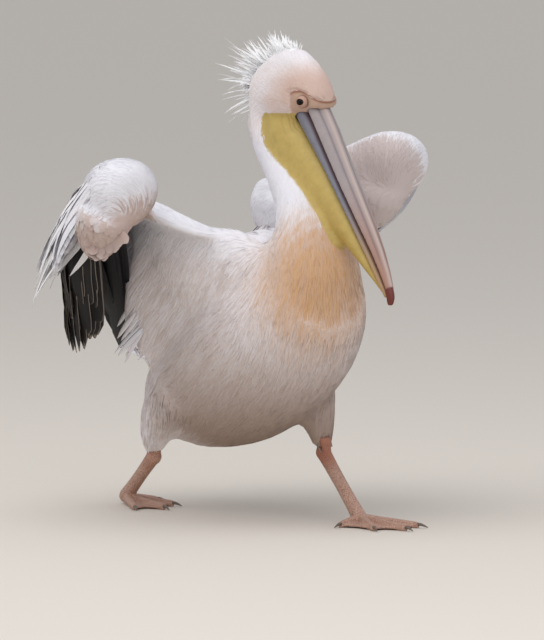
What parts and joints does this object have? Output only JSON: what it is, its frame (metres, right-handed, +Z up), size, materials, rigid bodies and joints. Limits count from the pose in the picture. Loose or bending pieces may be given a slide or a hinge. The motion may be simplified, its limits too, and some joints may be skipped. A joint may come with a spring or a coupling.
{
  "type": "still pelican model",
  "caption": "Life-size still model of a great white pelican in mid stride, bill lowered on its breast, folded wings lifted clear of its body; stands on its two webbed feet",
  "frame": {"origin": "on the floor under the middle of the model's box", "axes": "+X ahead along the body, +Y to the bird's left, +Z up"},
  "size_m": [0.7226, 0.6924, 0.85],
  "materials": {
    "plumage": "matt pinkish white feather",
    "crest_white": "matt white feather",
    "breast_gold": "matt straw-yellow to orange feather",
    "underwing": "matt pinkish buff feather",
    "quill_black": "black flight feather",
    "quill_grey": "grey-fringed dark flight feather",
    "face_skin": "bare pinkish skin",
    "lid_skin": "bare brown skin",
    "bill_horn": "grey-pink horn",
    "mandible_horn": "blue-grey horn",
    "nail_red": "red horn",
    "pouch_skin": "yellow bare skin",
    "iris": "wet dark brown",
    "leg_skin": "scaly pinkish skin",
    "hock_skin": "orange scaly skin",
    "foot_skin": "scaly pinkish skin and web",
    "claw_horn": "dark horn"
  },
  "bodies": {
    "root": {"eye_right": "iris", "eyelids_right": "lid_skin", "face_right": "face_skin", "eye_left": "iris", "eyelids_left": "lid_skin", "face_left": "face_skin", "head": "plumage", "bill_upper": "bill_horn", "bill_nail": "nail_red", "bill_lower": "mandible_horn", "pouch": "pouch_skin", "crest": "crest_white", "upper_arm_right": "plumage", "forearm_right": "plumage", "hand_right": "underwing", "patagium_right": "plumage", "primaries_right": "quill_black", "secondaries_right": "quill_grey", "coverts_right": "crest_white", "tertials_right": "plumage", "axillaries_right": "plumage", "upper_arm_left": "plumage", "forearm_left": "plumage", "hand_left": "underwing", "patagium_left": "plumage", "primaries_left": "quill_black", "secondaries_left": "quill_grey", "coverts_left": "crest_white", "tertials_left": "plumage", "axillaries_left": "plumage", "tail": "plumage", "thigh_right": "plumage", "hock_right": "hock_skin", "tarsus_right": "leg_skin", "foot_right": "foot_skin", "claw_right_1": "claw_horn", "claw_right_2": "claw_horn", "claw_right_3": "claw_horn", "claw_right_4": "claw_horn", "thigh_left": "plumage", "hock_left": "hock_skin", "tarsus_left": "leg_skin", "foot_left": "foot_skin", "claw_left_1": "claw_horn", "claw_left_2": "claw_horn", "claw_left_3": "claw_horn", "claw_left_4": "claw_horn", "mantle": "plumage", "breast": "breast_gold", "trunk": "plumage", "neck": "plumage"}
  },
  "joints": []
}
